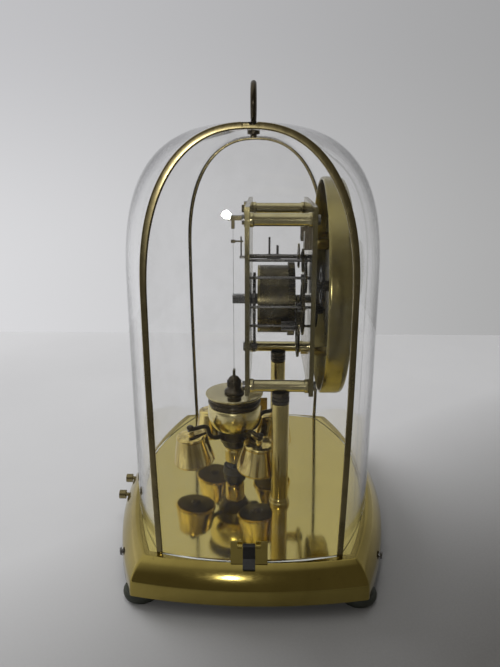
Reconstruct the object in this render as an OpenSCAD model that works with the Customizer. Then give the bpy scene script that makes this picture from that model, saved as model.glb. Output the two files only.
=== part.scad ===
// Torsion-pendulum (400-day) clock under a lifting glass case.
// X runs left to right as you face the dial, the dial looks along -Y, Z is up.
// The origin is at table level under the middle of the clock's footprint.

/* [Base] */
// Half width of the base at the middle of its sides
base_half_x = 89.5; // [84:0.5:95]
// Half depth of the base at the middle of its front and back
base_half_y = 69.3; // [64:0.1:72]
// Height of the mirror floor above the table
floor_z = 22.7; // [20:0.1:26]
// Radius of a rubber foot
foot_r = 8.5; // [8:0.5:12]

/* [Glass case] */
// Height of the arched glass case above the floor
case_h = 182; // [175:1:200]
// Half width of the case, to the middle of the side strips
case_half_x = 75.5; // [74:0.5:77]
// Half depth of a side strip at its widest
arch_half_y = 43; // [42:0.5:44]
// How far the front and back glass bow out in the middle
front_bow = 18.8; // [14:0.1:19]
// How far each side pane bows out in the middle
side_bow = 5.7; // [3:0.1:6]
// Thickness of the glass
glass_t = 1.6; // [1.2:0.1:2]

/* [Movement] */
// Width of the two plates
plate_w = 72; // [70:1:76]
// Height of the two plates
plate_h = 89; // [86:1:92]
// Thickness of a plate
plate_t = 2.2; // [1.5:0.1:2.5]
// Radius of a plate pillar
pillar_r = 2.9; // [2.5:0.1:3.2]
// Outer radius of the bezel
bezel_r = 54.5; // [54:0.5:58]

/* [Pendulum] */
// Distance from the pendulum's axis to the middle of a weight
weight_at = 25.2; // [24:0.2:26]
// Angle of the weights at rest
weight_turn = 32; // [0:1:89]
// Inward lean of the weights
weight_lean = 6; // [0:1:12]

/* [Hidden] */
$fn = 64;
eps = 0.01;

// Middle of the base and the case, set forward so that the rear knobs balance the footprint
case_y = -2.2;

// Base
skirt_z = 6.3;
skirt_screw_turn = 15.8;
skirt_screw_z = 11.7;
sheet_t = 1;
corner = [84, 52.5];
side_sag = base_half_x - corner[0];
front_sag = base_half_y - corner[1];
side_r = (pow(corner[1], 2) + pow(side_sag, 2)) / (2 * side_sag);
front_r = (pow(corner[0], 2) + pow(front_sag, 2)) / (2 * front_sag);
rim_w = 7.4;
flange_w = 3.2;
foot_at = [74.5, 49];
foot_h = 6;
under_z = 7.3;
under_t = 1;
knob_x = 9;
knob_z = 12.2;
knob_r = 2.4;
knob_l = 3.4;
knob_y = 68.1;
rod_r = 1;
lock_z = 17;
lock_t = 1.2;
lock_travel = 3;

// Case
trim_w = 2.6;
trim_half_x = 1.3;
arch_drop = 65;
arch_power = 2.35;
arch_foot_in = 1.8;
crown_rise = 2.4;
ring_mid_z = floor_z + 194.7;
ring_r = 8.3;
ring_wire_r = 1.4;

// Movement, along the depth: the back plate's inner face, then forward
back_in = -1.2;
back_out = back_in + plate_t;
front_in = -29.3;
front_out = front_in - plate_t;
plate_z = 126.65;
plate_low = plate_z - plate_h / 2;
pillar_x = 32.3;
pillar_top_z = 165.3;
pillar_low_z = 86.2;
mid_y = (back_in + front_in) / 2;
run = 0.05;

// Arbor places, [x, z]
barrel_at = [10, 119.6];
first_at = [-8.5, 109.62];
second_at = [-20, 122.15];
minute_at = [-14, 135.44];
third_at = [-14.77, 144.16];
escape_at = [-7.89, 145.45];
anchor_at = [0, 143.4];
dial_at = [0, 128.7];
motion_at = [0, 116.7];
click_at = [10, 93];

// Teeth and modules
barrel_teeth = 90;
wheel_teeth = 72;
barrel_m = 0.42;
second_m = 0.36;
third_m = 0.35;
drive_teeth = 40;
drive_m = norm(minute_at - dial_at) / drive_teeth;

// Depth layers of the wheels
barrel_back = -4.4;
barrel_front = -23.6;
ratchet_y = -1.9;
ratchet_t = 1.4;
layer_1 = -24.3;
layer_2 = -25.9;
layer_3 = -27.5;
wheel_t = 1;
pivot_l = plate_t;
arbor_r = 0.7;
pivot_r = 0.45;

// Dial and motion work
dial_y = -43.4;
dial_t = 0.9;
bezel_back = -35.5;
bezel_front = -46.5;

// Pendulum and suspension
pend_y = 8;
disc_z = 69;
disc_t = 1.2;
disc_r = 15.5;
bell_top_r = 8.2;
bell_low_r = 11;
bell_h = 15.2;
bell_mid_z = 43.2;
spring_low_z = 80;
bracket_z = 162;
column_x = 32.3;
column_y = -16.1;
column_r = 4.2;
column_top_z = pillar_low_z - pillar_r;
collar_h = 6;

brass = "#b5963f";
old_brass = "#8a7434";
steel = "#8d8f92";
dark_steel = "#4a4744";
black = "#1e1f1d";
silver = "#c9c8c2";
glass = [0.85, 0.9, 0.88, 0.25];

// ---------- helpers ----------

// Points children along an arbor, from depth y towards the dial
module along(at, y) {
    translate([at[0], y, at[1]]) rotate([90, 0, 0]) children();
}

// A plain disc or shaft on an arbor line, from depth y_from to y_to
module shaft(at, y_from, y_to, r) {
    along(at, y_from) cylinder(h = y_from - y_to, r = r);
}

// Repeats children at each of the places given
module at_each(places) {
    for (p = places) translate(p) children();
}

// Outline of a clock gear: radial flanks below the pitch circle, pointed above it
function gear_outline(teeth, m, add, ded, thick) = let (
    r = teeth * m / 2,
    half = thick * m / r * 90 / PI
) [
    for (i = [0 : teeth - 1], s = [
        [r - ded * m, -half], [r, -half], [r + add * m, -half * 0.3],
        [r + add * m, half * 0.3], [r, half], [r - ded * m, half]
    ])
    s[0] * [cos(i * 360 / teeth + s[1]), sin(i * 360 / teeth + s[1])]
];

// Turn of a gear that meshes with another whose first tooth points at turn_a
function mesh_turn(a, b, teeth_a, teeth_b, turn_a = 0) = let (
    line = atan2(b[1] - a[1], b[0] - a[0]),
    lead = (turn_a - line) / (360 / teeth_a)
) line + 180 - lead * 360 / teeth_b + 180 / teeth_b;

module wheel_2d(teeth, m) {
    polygon(gear_outline(teeth, m, 1.2, 1.4, 1.4));
}

module pinion_2d(teeth, m) {
    polygon(gear_outline(teeth, m, 0.75, 1.6, 1.05));
}

// A crossed-out wheel: toothed rim, four arms and a hub
module train_wheel(teeth, m, bore, rim = 1.6, hub = 2.4, arm = 1.4) {
    r_in = teeth * m / 2 - 1.4 * m - rim;
    linear_extrude(wheel_t) difference() {
        wheel_2d(teeth, m);
        difference() {
            circle(r = r_in);
            circle(r = hub);
            for (a = [0, 90]) rotate(a) square([2 * r_in + 2, arm], center = true);
        }
        circle(r = bore);
    }
}

// An arbor with a pinion cut on it and a pivot in each plate
module pinion_arbor(at, teeth, m, y_from, y_to, turn, rear = back_in, front = front_in) {
    along(at, y_from) rotate([0, 0, turn]) linear_extrude(y_from - y_to) pinion_2d(teeth, m);
    shaft(at, rear - 0.1, front + 0.1, arbor_r);
    shaft(at, rear + pivot_l - 0.2, front - pivot_l + 0.2, pivot_r);
}

// Closed sheet between two grids of points, triangulated
module grid_sheet(outer, inner) {
    rows = len(outer);
    cols = len(outer[0]);
    all = rows * cols;
    pts = [for (g = [outer, inner], row = g, p = row) p];
    quads = concat(
        [for (r = [0 : rows - 2], c = [0 : cols - 2])
            [r * cols + c, r * cols + c + 1, (r + 1) * cols + c + 1, (r + 1) * cols + c]],
        [for (r = [0 : rows - 2], c = [0 : cols - 2])
            [all + r * cols + c, all + (r + 1) * cols + c,
             all + (r + 1) * cols + c + 1, all + r * cols + c + 1]],
        [for (r = [0 : rows - 2])
            [r * cols, (r + 1) * cols, all + (r + 1) * cols, all + r * cols]],
        [for (r = [0 : rows - 2]) let (e = r * cols + cols - 1)
            [e, all + e, all + e + cols, e + cols]],
        [for (c = [0 : cols - 2]) [c, all + c, all + c + 1, c + 1]],
        [for (c = [0 : cols - 2]) let (e = (rows - 1) * cols + c)
            [e, e + 1, all + e + 1, all + e]]
    );
    faces = [for (q = quads, t = [[q[0], q[1], q[2]], [q[0], q[2], q[3]]]) t];
    polyhedron(points = pts, faces = faces, convexity = 6);
}

// ---------- base ----------

// Section through the rim, from the turning axis out to the skirt and up to the glass
function rim_profile(r, inset) = let (
    top = floor_z - inset
) concat(
    [[0, skirt_z - 1], [r - inset, skirt_z - 1], [r - inset - 0.2, 11]],
    [for (a = [0 : 15 : 45])
        [r - inset - 3.9 + 3.7 * cos(a), 12.4 + 4.2 * sin(a)]],
    [[r - inset - 3.1, 18.1], [r - inset - 5.3, 20.7], [r - inset - rim_w, top], [0, top]]
);

// One bowed side of the base as a big turned solid that ends at y = reach
module bowed_side(reach, r, inset) {
    translate([0, reach - r, 0]) rotate_extrude($fn = 180) polygon(rim_profile(r, inset));
}

// The base's outer form, drawn in by inset
module base_form(inset) {
    intersection() {
        bowed_side(base_half_y, front_r, inset);
        rotate([0, 0, 180]) bowed_side(base_half_y, front_r, inset);
        rotate([0, 0, 90]) bowed_side(base_half_x, side_r, inset);
        rotate([0, 0, -90]) bowed_side(base_half_x, side_r, inset);
    }
}

// Flat plan with the base's four bowed sides, drawn in by inset
module full_plan(inset, h) {
    intersection() {
        translate([0, base_half_y - front_r, 0]) cylinder(h = h, r = front_r - inset, $fn = 180);
        translate([0, front_r - base_half_y, 0]) cylinder(h = h, r = front_r - inset, $fn = 180);
        translate([base_half_x - side_r, 0, 0]) cylinder(h = h, r = side_r - inset, $fn = 180);
        translate([side_r - base_half_x, 0, 0]) cylinder(h = h, r = side_r - inset, $fn = 180);
    }
}

foot_places = [for (sx = [-1, 1], sy = [-1, 1]) [sx * foot_at[0], sy * foot_at[1] + case_y, 0]];

module base_shell() {
    color(brass) difference() {
        translate([0, case_y, 0]) difference() {
            base_form(0);
            base_form(sheet_t);
            translate([0, 0, -eps]) full_plan(-3, skirt_z + eps);
            translate([0, 0, 15]) full_plan(rim_w + flange_w, 20);
        }
        for (sx = [-1, 1]) translate([sx * knob_x, 40, knob_z])
            rotate([-90, 0, 0]) cylinder(h = 40, r = rod_r + 0.3);
        at_skirt_screws() cylinder(h = 12, r = 1.05, center = true);
    }
}

module floor_plate() {
    color("#c2a64a") difference() {
        translate([0, case_y, floor_z - 1.5]) full_plan(rim_w + flange_w + 0.02, 1.5);
        translate([0, pend_y, floor_z - 3]) cylinder(h = 5, r = 2);
        for (sx = [-1, 1]) translate([sx * column_x, column_y, floor_z - 3]) cylinder(h = 5, r = 1.6);
    }
}

module underplate() {
    color(black) difference() {
        translate([0, case_y, under_z]) full_plan(sheet_t + 0.2, under_t);
        for (p = foot_places) translate(p) cylinder(h = 12, r = 1.6);
    }
}

module feet() {
    color(black) for (p = foot_places) translate(p) difference() {
        rotate_extrude() polygon(concat(
            [[0, 0], [foot_r - 2.2, 0]],
            [for (a = [-60 : 30 : 60]) [foot_r - 2.2 + 2.2 * cos(a), foot_h / 2 + foot_h / 2 * sin(a)]],
            [[foot_r - 2.4, foot_h], [foot_r - 2.4, under_z], [0, under_z]]
        ));
        translate([0, 0, -1]) cylinder(h = 12, r = 1.55);
        translate([0, 0, -1]) cylinder(h = 3.4, r = 3.4);
    }
}

// Four screw places on the front and back skirts, square to the bowed sheet
module at_skirt_screws() {
    for (sx = [-1, 1], half_turn = [0, 180]) translate([0, case_y, skirt_screw_z])
        rotate([0, 0, half_turn]) translate([0, base_half_y - front_r, 0])
            rotate([0, 0, sx * skirt_screw_turn]) translate([0, front_r, 0])
                rotate([-90, 0, 0]) children();
}

module base_screws() {
    color(steel) for (p = foot_places) translate(p) difference() {
        union() {
            translate([0, 0, 2.4]) cylinder(h = 8, r = 1.5);
            translate([0, 0, 1]) cylinder(h = 1.4, r = 3);
        }
        translate([-4, -0.35, 0]) cube([8, 0.7, 1.5]);
    }
    color(dark_steel) at_skirt_screws() {
        translate([0, 0, -4.5]) cylinder(h = 4.6, r = 1);
        translate([0, 0, 0.08]) cylinder(h = 1.1, r1 = 2.1, r2 = 1.5);
    }
}

module guide_cup() {
    color(old_brass) translate([0, pend_y, floor_z]) difference() {
        cylinder(h = 4.2, r1 = 6.6, r2 = 6);
        translate([0, 0, -1]) cylinder(h = 7, r = 1.7);
        translate([0, 0, 2.6]) cylinder(h = 2, r1 = 2.4, r2 = 5);
    }
}

module lock_guide() {
    color(steel) for (y = [24, 44]) difference() {
        translate([-9, y - 3, lock_z - 1.3]) cube([18, 6, floor_z - 1.5 - lock_z + 1.3]);
        translate([-5.3, y - 4, lock_z - 0.3]) cube([10.6, 8, lock_t + 0.6]);
    }
}

module lock_slide() {
    color(old_brass) difference() {
        union() {
            translate([-5, 2, lock_z]) cube([10, 57, lock_t]);
            translate([-12, 57, knob_z - 2.5]) cube([24, 2, lock_z + lock_t - knob_z + 2.5]);
            for (sx = [-1, 1]) translate([sx * knob_x, 59 - eps, knob_z]) rotate([-90, 0, 0]) {
                cylinder(h = knob_y - 59 + 0.5, r = rod_r);
                translate([0, 0, knob_y - 59]) cylinder(h = knob_l, r = knob_r);
            }
        }
        translate([0, pend_y, lock_z - 1]) cylinder(h = 4, r = 2.2);
        translate([0, pend_y - lock_travel, lock_z - 1]) cylinder(h = 4, r = 1.08);
        translate([-1.08, pend_y - lock_travel, lock_z - 1]) cube([2.16, lock_travel, 4]);
    }
}

// ---------- supports and plates ----------

column_places = [for (sx = [-1, 1]) [sx * column_x, column_y, 0]];

module support_columns() {
    color(brass) at_each(column_places) {
        translate([0, 0, floor_z]) cylinder(h = column_top_z - collar_h - floor_z, r = column_r);
        translate([0, 0, floor_z - 1.5]) cylinder(h = 1.6, r = 1.55);
    }
}

module column_collars() {
    color(old_brass) at_each(column_places) {
        translate([0, 0, column_top_z - collar_h]) rotate_extrude() polygon([
            [0, 0], [3.6, 0], [3.6, 0.7], [4.4, 0.7], [4.4, 2.4], [4, 2.6],
            [4, 3.1], [4.3, 3.3], [4.3, collar_h], [0, collar_h]
        ]);
    }
}

// A plate with its pivot holes; holes are [place, radius]
module plate(y_from, holes) {
    difference() {
        translate([-plate_w / 2, y_from - plate_t, plate_low])
            cube([plate_w, plate_t, plate_h]);
        for (h = holes) shaft(h[0], y_from + 1, y_from - plate_t - 1, h[1]);
    }
}

pillar_places = [for (sx = [-1, 1], z = [pillar_low_z, pillar_top_z]) [sx * pillar_x, z]];
train_pivots = [for (p = [first_at, second_at, third_at, escape_at]) [p, pivot_r + run]];

module back_plate() {
    color("#a89052") plate(back_out, concat(
        train_pivots,
        [for (p = pillar_places) [p, 1.5]],
        [[minute_at, pivot_r + run], [barrel_at, 2.8 + run], [anchor_at, arbor_r + run],
         [click_at, 1.25]]
    ));
}

module front_plate() {
    color("#a89052") plate(front_in, concat(
        train_pivots,
        [for (p = pillar_places) [p, 1.5]],
        [[minute_at, 0.9 + run], [barrel_at, 1.6 + run], [anchor_at, pivot_r + run],
         [dial_at, 1.5], [motion_at, 1.0]],
        [for (p = dial_foot_places) [p, 1.5]]
    ));
}

module pillar(at) {
    difference() {
        shaft(at, back_in, front_in, pillar_r);
        for (y = [back_in + 1, front_in + 7]) shaft(at, y, y - 8, 1.4);
    }
    for (y = [back_in, front_in + 2]) along(at, y) difference() {
        cylinder(h = 2, r = pillar_r + 0.5);
        translate([0, 0, -1]) cylinder(h = 4, r = pillar_r - eps);
    }
}

module top_pillars() {
    color(brass) for (sx = [-1, 1]) pillar([sx * pillar_x, pillar_top_z]);
}

module bottom_pillars() {
    color(brass) for (sx = [-1, 1]) pillar([sx * pillar_x, pillar_low_z]);
}

module plate_screws() {
    color(dark_steel) {
        shaft(click_at, back_out, barrel_back + 0.2, 1.2);
        shaft(click_at, ratchet_y - ratchet_t - 0.15, barrel_back + 0.2, 2.1);
        along(click_at, back_out + 2.4) cylinder(h = 2.4, r = 2.6, $fn = 6);
    }
    color(steel) for (p = pillar_places) {
        shaft(p, back_out, back_in - 5, 1.35);
        shaft(p, back_out + 1.3, back_out, 2.3);
        shaft(p, front_in + 5, front_out, 1.35);
        shaft(p, front_out, front_out - 1.3, 2.3);
    }
}

// ---------- dial ----------

dial_foot_places = [[-16, 152], [16, 152], [0, 93.5]];

module dial_feet() {
    color(brass) for (p = dial_foot_places) {
        shaft(p, front_out, dial_y, 2.4);
        shaft(p, front_out + 4.4, front_out - eps, 1.4);
    }
}

module dial_lock_blocks() {
    color(dark_steel) for (p = [dial_foot_places[0], dial_foot_places[1]]) {
        difference() {
            union() {
                translate([p[0] - 4, front_in, p[1] - 2]) cube([8, 2.6, 9]);
                translate([p[0] - 4, front_in, p[1] + 7 - eps]) cube([8, 4.4, 4]);
            }
            shaft(p, front_in + 8, front_in - 1, 1.45);
        }
    }
}

module dial() {
    color(silver) difference() {
        shaft(dial_at, dial_y, dial_y - dial_t, bezel_r - 1.42);
        shaft(dial_at, dial_y + 1, dial_y - dial_t - 1, 3.4);
    }
}

module bezel() {
    color(brass) along(dial_at, bezel_back) rotate_extrude($fn = 128) polygon([
        [bezel_r - 1.4, 0], [bezel_r - 0.4, 0], [bezel_r, 1], [bezel_r, 9],
        [bezel_r - 0.3, 10.4], [bezel_r - 1.4, 11], [bezel_r - 3.4, 10.6], [bezel_r - 5, 9.4],
        [bezel_r - 4.8, 9], [bezel_r - 1.4, 8.9]
    ]);
}

// ---------- suspension, fork and anchor ----------

module suspension_bracket() {
    color(old_brass) difference() {
        union() {
            translate([-4, back_out, bracket_z - 3]) cube([8, 1.4, 12]);
            translate([-2.5, back_out, bracket_z]) cube([5, pend_y + 2.4 - back_out, 2.2]);
        }
        translate([0, pend_y, bracket_z - 1]) cylinder(h = 5, r = 0.6);
        shaft([0, bracket_z + 5.6], back_out + 2, back_out - 1, 1.1);
    }
    color(steel) {
        shaft([0, bracket_z + 5.6], back_out + 2.6, back_out + 1.4, 1.9);
        shaft([0, bracket_z + 5.6], back_out + 1.4, back_out, 1.05);
    }
    color(brass) translate([0, pend_y, bracket_z - 4.2]) difference() {
        translate([-2.2, -0.8, 0]) cube([4.4, 1.6, 4.2]);
        translate([0, 0, -1]) cylinder(h = 4, r = 0.5);
    }
}

module suspension_spring() {
    color(silver) translate([-0.3, pend_y - 0.08, spring_low_z + 3])
        cube([0.6, 0.16, bracket_z - 1.6 - spring_low_z - 3]);
}

fork_z = 151.4;

module fork() {
    color(old_brass) {
        difference() {
            translate([-1.4, pend_y - 1.1, fork_z - 0.7]) cube([2.8, 2.2, 1.4]);
            translate([0, pend_y, fork_z - 1]) cylinder(h = 2, r = 0.5);
        }
        for (sx = [-1, 1]) translate([sx * 0.85, pend_y - 1.1 + eps, fork_z])
            rotate([90, 0, 0]) cylinder(h = 4, r = 0.3, $fn = 24);
    }
}

pin_y = 4;

// Places of the two pallet tips, just outside the escape wheel's tip circle
escape_teeth = 20;
escape_r = 6;
pallet_gap = 0.55;
pallet_span = 40.5;
escape_to_anchor = atan2(anchor_at[1] - escape_at[1], anchor_at[0] - escape_at[0]);
pallet_tips = [for (s = [-1, 1])
    escape_at + (escape_r + pallet_gap + 0.3) *
        [cos(escape_to_anchor + s * pallet_span), sin(escape_to_anchor + s * pallet_span)]];

// The pallet arms on their arbor, with the upright pin behind the plate and two poising rods
module anchor() {
    color(dark_steel) along([0, 0], layer_1) linear_extrude(wheel_t) {
        translate(anchor_at) circle(r = 1.8);
        for (p = pallet_tips) hull() {
            translate(anchor_at) circle(r = 0.9, $fn = 24);
            translate(p) circle(r = 0.3, $fn = 24);
        }
    }
    color(steel) {
        shaft(anchor_at, pin_y + 0.8, front_in + 0.1, arbor_r);
        shaft(anchor_at, front_in + 0.1, front_out + 0.4, pivot_r);
        shaft(anchor_at, -9.2, -16, 1.7);
        for (pin = [[pin_y, fork_z + 2.4, 0.4], [-10.3, 153.6, 0.5], [-14.4, 149.5, 0.6]])
            translate([anchor_at[0], pin[0], anchor_at[1]])
                cylinder(h = pin[1] - anchor_at[1], r = pin[2], $fn = 24);
    }
}

// ---------- winding ----------

ratchet_teeth = 24;
ratchet_r = 14;

module ratchet_wheel() {
    color(steel) along(barrel_at, ratchet_y) linear_extrude(ratchet_t) difference() {
        polygon([for (i = [0 : ratchet_teeth - 1], s = [[ratchet_r, 0], [ratchet_r - 1.3, 1.2]])
            s[0] * [cos((i + s[1] / 15) * 360 / ratchet_teeth - 90),
                    sin((i + s[1] / 15) * 360 / ratchet_teeth - 90)]]);
        square(4.02, center = true);
    }
}

module winding_arbor() {
    color(steel) {
        translate([barrel_at[0], ratchet_y, barrel_at[1]]) rotate([90, 0, 0])
            translate([-2, -2, 0]) cube([4, 4, ratchet_t]);
        shaft(barrel_at, back_out + 0.2, ratchet_y, 2.8);
        shaft(barrel_at, ratchet_y - ratchet_t, barrel_front + 1.6, 2.8);
        shaft(barrel_at, barrel_front + 1.6, front_in + 0.2, 2.2);
        shaft(barrel_at, front_in + 0.2, front_out + 0.3, 1.6);
        translate([barrel_at[0], 9, barrel_at[1]]) rotate([90, 0, 0])
            translate([-2.2, -2.2, 0]) cube([4.4, 4.4, 9 - back_out]);
    }
}

click_tip = [click_at[0] + 1.6, barrel_at[1] - ratchet_r - 0.35];

module click() {
    color(steel) along([0, 0], ratchet_y) linear_extrude(ratchet_t) difference() {
        union() {
            translate(click_at) circle(r = 3);
            hull() {
                translate(click_at + [0, 1]) circle(r = 2, $fn = 32);
                translate(click_tip + [0.6, -0.3]) circle(r = 0.6, $fn = 32);
            }
        }
        translate(click_at) circle(r = 1.2 + run);
    }
}

module click_spring() {
    color(steel) along(click_at, ratchet_y) linear_extrude(ratchet_t) {
        translate([14, -3]) circle(r = 2);
        polygon([[14, -4.9], [3.8, 7], [3.8, 7.5], [14.4, -4.4]]);
    }
}

module barrel() {
    r = barrel_teeth * barrel_m / 2;
    color(old_brass) difference() {
        union() {
            shaft(barrel_at, barrel_back - 1.2, barrel_front, r - 1);
            along(barrel_at, barrel_front + 3.4) linear_extrude(3.4) wheel_2d(barrel_teeth, barrel_m);
        }
        shaft(barrel_at, barrel_back + 1, barrel_front + 1.6, r - 2);
        shaft(barrel_at, barrel_front + 3, barrel_front - 1, 2.2 + run);
    }
}

module barrel_cap() {
    color(brass) difference() {
        union() {
            shaft(barrel_at, barrel_back, barrel_back - 1.2, barrel_teeth * barrel_m / 2 - 1);
            shaft(barrel_at, barrel_back - 1.2, barrel_back - 2, barrel_teeth * barrel_m / 2 - 2.05);
        }
        shaft(barrel_at, barrel_back + 1, barrel_back - 3, 2.8 + run);
    }
}

// Spiral of the wound mainspring, as an outline out and back
coil_turns = 7;
coil_step = 15;

module mainspring() {
    r0 = 4;
    r1 = barrel_teeth * barrel_m / 2 - 2.9;
    n = coil_turns * 360 / coil_step;
    function coil(i, side) = (r0 + (r1 - r0) * i / n + side * 0.3) *
        [cos(i * coil_step), sin(i * coil_step)];
    color(dark_steel) along(barrel_at, barrel_back - 2.6) linear_extrude(14.6)
        polygon(concat([for (i = [0 : n]) coil(i, 1)], [for (i = [n : -1 : 0]) coil(i, -1)]));
}

// ---------- going train ----------

turn_first = mesh_turn(barrel_at, first_at, barrel_teeth, 10);
turn_second = mesh_turn(first_at, second_at, wheel_teeth, 9);
turn_minute = mesh_turn(second_at, minute_at, wheel_teeth, 9);
turn_third = mesh_turn(minute_at, third_at, drive_teeth, 10);
turn_escape = mesh_turn(third_at, escape_at, 30, 10);

module first_wheel() {
    color(old_brass) along(first_at, layer_1) train_wheel(wheel_teeth, barrel_m, arbor_r);
}

module first_pinion() {
    color(steel) pinion_arbor(first_at, 10, barrel_m, -16.5, layer_1 + 0.2, turn_first);
}

module second_wheel() {
    color(old_brass) along(second_at, layer_2) train_wheel(wheel_teeth, second_m, arbor_r);
}

module second_pinion() {
    color(steel) pinion_arbor(second_at, 9, barrel_m, layer_1 + 0.3, layer_2 + 0.2, turn_second);
}

module minute_arbor_wheels() {
    color(old_brass) {
        along(minute_at, layer_3) train_wheel(drive_teeth, third_m, arbor_r, 1, 2);
        along(minute_at, front_out - 0.6) train_wheel(drive_teeth, drive_m, 0.9, 1.2, 2);
    }
}

module minute_arbor() {
    color(steel) {
        pinion_arbor(minute_at, 9, second_m, layer_2 + 0.2, layer_3 + 0.2, turn_minute);
        shaft(minute_at, front_in + 0.1, front_out - 2, 0.9);
    }
}

module third_wheel() {
    color(old_brass) along(third_at, layer_2) train_wheel(30, third_m, arbor_r, 1, 1.8);
}

module third_pinion() {
    color(steel) pinion_arbor(third_at, 10, third_m, layer_3 + 0.1, layer_3 - wheel_t - 0.1, turn_third);
}

module escape_wheel() {
    color(brass) along(escape_at, layer_1) linear_extrude(wheel_t * 0.8) difference() {
        union() {
            circle(r = escape_r - 1.6);
            for (i = [0 : escape_teeth - 1]) rotate(i * 360 / escape_teeth)
                polygon([
                    [escape_r - 1.9, -0.45], [escape_r, 0.05], [escape_r, 0.2], [escape_r - 1.9, 0.45]
                ]);
        }
        difference() {
            circle(r = escape_r - 2.6);
            circle(r = 1.5);
            for (a = [0, 90]) rotate(a) square([2 * escape_r, 0.9], center = true);
        }
        circle(r = arbor_r);
    }
}

module escape_pinion() {
    color(steel) pinion_arbor(escape_at, 10, third_m, layer_2 + 0.1, layer_2 - wheel_t - 0.1, turn_escape);
}

// ---------- motion work and hands ----------

pipe_y = front_out - 0.6;
turn_pipe = mesh_turn(minute_at, dial_at, drive_teeth, drive_teeth);
turn_motion = mesh_turn(dial_at, motion_at, 12, 36);
turn_hour = mesh_turn(motion_at, dial_at, 10, 40);
hour_m = 0.48;

module motion_studs() {
    color(steel) {
        shaft(dial_at, front_in + 0.3, -47.6, 1.4);
        shaft(motion_at, front_in + 0.3, -39, 0.95);
    }
}

module minute_pipe() {
    color(old_brass) {
        along(dial_at, pipe_y) rotate([0, 0, turn_pipe])
            train_wheel(drive_teeth, drive_m, 1.45, 1.2, 2.4);
        difference() {
            union() {
                along(dial_at, pipe_y - wheel_t) linear_extrude(3.2) pinion_2d(12, 0.5);
                shaft(dial_at, pipe_y - wheel_t, -46.9, 2);
            }
            shaft(dial_at, pipe_y + 1, -48, 1.45);
        }
    }
}

module minute_wheel() {
    color(old_brass) {
        along(motion_at, pipe_y - 1.8) rotate([0, 0, turn_motion])
            train_wheel(36, 0.5, 1, 1.4, 2.6);
        along(motion_at, pipe_y - 1.8 - wheel_t) linear_extrude(3.2) difference() {
            pinion_2d(10, hour_m);
            circle(r = 1);
        }
    }
}

module hour_wheel() {
    color(old_brass) {
        along(dial_at, pipe_y - 4.6) rotate([0, 0, turn_hour])
            train_wheel(40, hour_m, 2.05, 1.6, 3.1);
        difference() {
            shaft(dial_at, pipe_y - 4.6 - wheel_t, -45.7, 2.8);
            shaft(dial_at, pipe_y, -48, 2.05);
        }
    }
}

hand_t = 0.5;

// A tapered pointed hand with an open leaf, pointing up from the dial centre
module hand(length, width, bore) {
    difference() {
        union() {
            cylinder(h = hand_t, r = bore + 1.5);
            linear_extrude(hand_t) difference() {
                polygon([
                    [-1.3, -6], [-0.8, 0.1], [-0.9, length * 0.35], [-width, length * 0.62], [0, length],
                    [width, length * 0.62], [0.9, length * 0.35], [0.8, 0.1], [1.3, -6]
                ]);
                polygon([
                    [0, length * 0.44], [-width * 0.55, length * 0.63],
                    [0, length * 0.84], [width * 0.55, length * 0.63]
                ]);
            }
        }
        translate([0, 0, -1]) cylinder(h = hand_t + 2, r = bore);
    }
}

hour_angle = -304;
minute_angle = -48;

module hour_hand() {
    color(brass) along(dial_at, -45) rotate([0, 0, hour_angle]) hand(29, 3.2, 2.81);
}

module minute_hand() {
    color(brass) along(dial_at, -46.2) rotate([0, 0, minute_angle]) hand(43, 2.6, 2.01);
}

module hand_nut() {
    color(brass) difference() {
        along(dial_at, -46.9) rotate_extrude() polygon([[0, 0], [3, 0], [3, 0.7], [2.2, 1.3], [0, 1.6]]);
        shaft(dial_at, -46, -47.7, 1.45);
    }
}

// ---------- pendulum ----------

module lathe(points) {
    translate([0, pend_y, 0]) rotate_extrude() polygon(points);
}

module pendulum_hook() {
    top = disc_z + disc_t;
    color(dark_steel) {
        lathe([[0, top], [5.4, top], [5.4, top + 1.4], [4, top + 2.6], [4, top + 3.4], [0, top + 3.4]]);
        translate([0, pend_y, 0]) difference() {
            union() {
                translate([0, 0, top + 3]) cylinder(h = 4.4, r = 3.6);
                for (i = [0 : 17]) rotate([0, 0, i * 20])
                    translate([3.6, 0, top + 4]) cylinder(h = 3.4, r = 0.35, $fn = 16);
                translate([0, 0, top + 7.3]) cylinder(h = 2.6, r1 = 3.6, r2 = 2.4);
            }
            translate([-5, -1, top + 6.4]) cube([10, 2, 5]);
        }
    }
    color(brass) translate([-2, pend_y - 0.7, top + 6.4]) cube([4, 1.4, spring_low_z + 3 - top - 6.4]);
}

module rating_disc() {
    color(brass) translate([0, pend_y, disc_z]) difference() {
        cylinder(h = disc_t, r = disc_r, $fn = 128);
        translate([0, 0, -1]) cylinder(h = 4, r = 2.6);
    }
}

module pendulum_bowl() {
    color(brass) lathe([
        [2.5, 68.8], [14.3, 68.8], [14.6, 68.2], [14.3, 67.4], [13.2, 67.1], [13.2, 66.2],
        [14.1, 65.9], [14.3, 65.2], [14, 64.5], [13, 64.2], [13, 63.4], [14, 63], [14.4, 61],
        [14.4, 58.5], [14, 56], [13.2, 53.6], [12.1, 51.6], [10.6, 50], [2.5, 50]
    ]);
}

module pendulum_neck() {
    color(dark_steel) {
        lathe([[0, 50], [9.6, 50], [9.4, 48.6], [8.6, 46.4], [8.2, 43], [6.8, 40.6],
               [6, 39], [0, 39]]);
        lathe([[0, 50], [0, 70.15], [2.3, 70.15], [2.3, 50]]);
    }
    color(brass) lathe([[0, 39], [5.3, 39], [5.3, 37.8], [4.7, 37.3], [5.3, 36.6], [5.3, 30.2],
                        [4.5, 29.2], [2, 28.8], [1, 28.6], [1, lock_z - 1], [0, lock_z - 1.8]]);
}

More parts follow.
